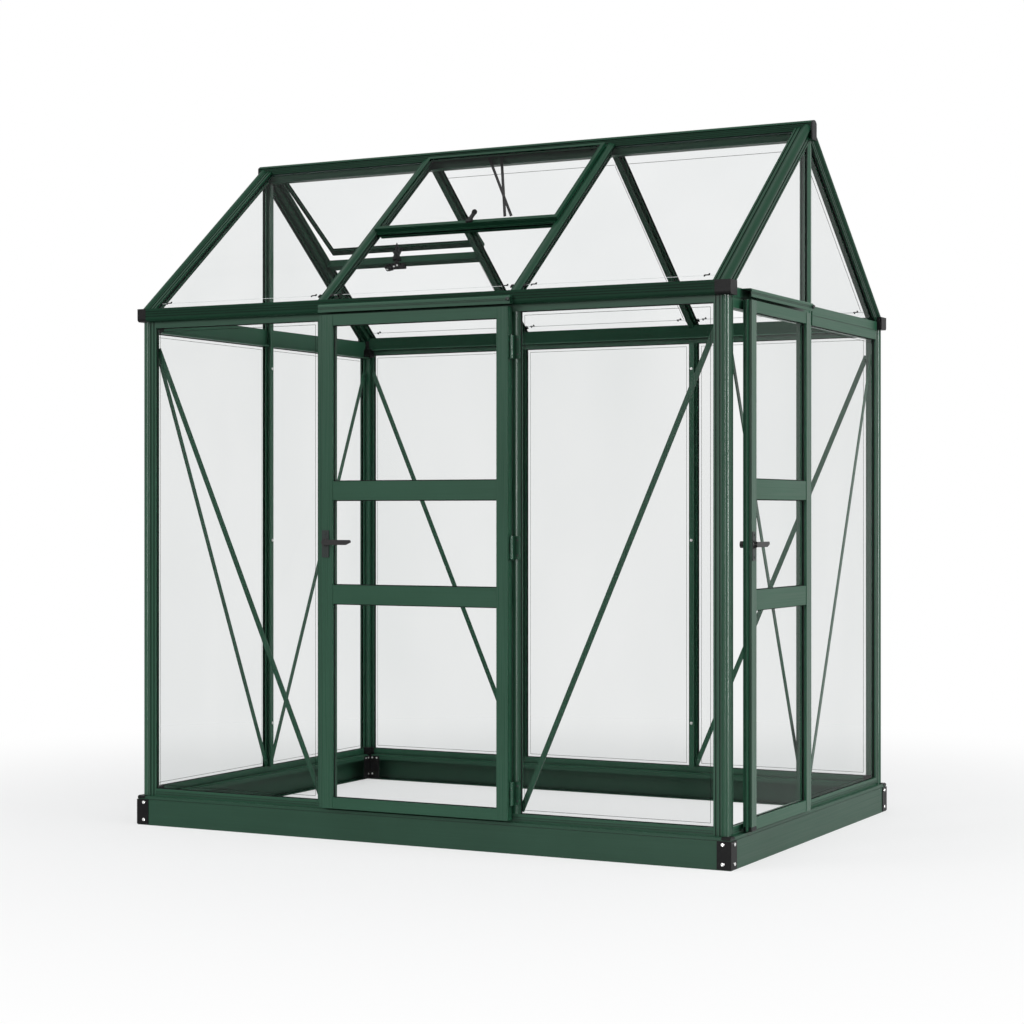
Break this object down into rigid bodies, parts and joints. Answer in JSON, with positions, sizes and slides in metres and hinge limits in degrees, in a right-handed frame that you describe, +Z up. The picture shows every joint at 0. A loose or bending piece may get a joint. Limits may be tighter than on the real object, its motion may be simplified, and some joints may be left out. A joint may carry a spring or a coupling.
{
  "type": "aluminium greenhouse",
  "caption": "Small gable-roofed greenhouse of green aluminium bars and clear panes on a low base, with a door in its front and one in its gable, and roof vents.",
  "frame": {"origin": "middle of the base's footprint, on the floor", "axes": "+X along the ridge towards the gable with the door, -Y out of the front with the wide door, +Z up"},
  "size_m": [1.8788, 1.309, 2.0039],
  "materials": {
    "green_aluminium": "satin powder coat, dark green",
    "clear_glass": "clear, faintly grey",
    "black_plastic": "matt black moulding",
    "door_furniture": "satin, dark green"
  },
  "bodies": {
    "house": {"back_gutter": "green_aluminium", "back_verges": "green_aluminium", "base_back": "green_aluminium", "base_corners": "black_plastic", "base_front": "green_aluminium", "base_left": "green_aluminium", "base_right": "green_aluminium", "braces": "green_aluminium", "corner_gussets": "black_plastic", "corner_posts": "green_aluminium", "door_headers": "green_aluminium", "front_gutter": "green_aluminium", "front_verges": "green_aluminium", "gable_glazing": "clear_glass", "gable_mullions": "green_aluminium", "gable_point_glazing": "clear_glass", "gable_rails": "green_aluminium", "gutter_ends": "black_plastic", "hinge_brackets": "green_aluminium", "long_wall_glazing": "clear_glass", "long_wall_mullions": "green_aluminium", "ridge_beam": "green_aluminium", "ridge_caps": "black_plastic", "roof_glazing": "clear_glass", "roof_rafters": "green_aluminium", "side_door_jamb": "green_aluminium", "sill_rails": "green_aluminium", "vent_bars": "green_aluminium", "vent_frames": "green_aluminium", "vent_panes": "clear_glass", "vent_stays": "black_plastic", "wall_plates": "green_aluminium"},
    "front_door": {"front_door_glass": "clear_glass", "front_door_handle_plate": "door_furniture", "front_door_hinges": "green_aluminium", "front_door_rails": "green_aluminium", "front_door_stiles": "green_aluminium"},
    "side_door": {"side_door_glass": "clear_glass", "side_door_handle_plate": "door_furniture", "side_door_hinges": "green_aluminium", "side_door_rails": "green_aluminium", "side_door_stiles": "green_aluminium"},
    "front_handle": {"front_door_lever": "door_furniture"},
    "side_handle": {"side_door_lever": "door_furniture"}
  },
  "joints": [
    {"name": "front_door_hinge", "type": "hinge", "parent": "house", "child": "front_door", "pos_m": [0.3025, -0.645, 0.773], "axis": [0, 0, 1], "range_deg": [0, 110]},
    {"name": "side_door_hinge", "type": "hinge", "parent": "house", "child": "side_door", "pos_m": [0.93, -0.0735, 0.773], "axis": [0, 0, 1], "range_deg": [0, 110]},
    {"name": "front_handle_turn", "type": "hinge", "parent": "front_door", "child": "front_handle", "pos_m": [-0.272, -0.6545, 0.826], "axis": [0, 1, 0], "range_deg": [0, 60]},
    {"name": "side_handle_turn", "type": "hinge", "parent": "side_door", "child": "side_handle", "pos_m": [0.9395, -0.519, 0.826], "axis": [-1, 0, 0], "range_deg": [0, 60]}
  ]
}
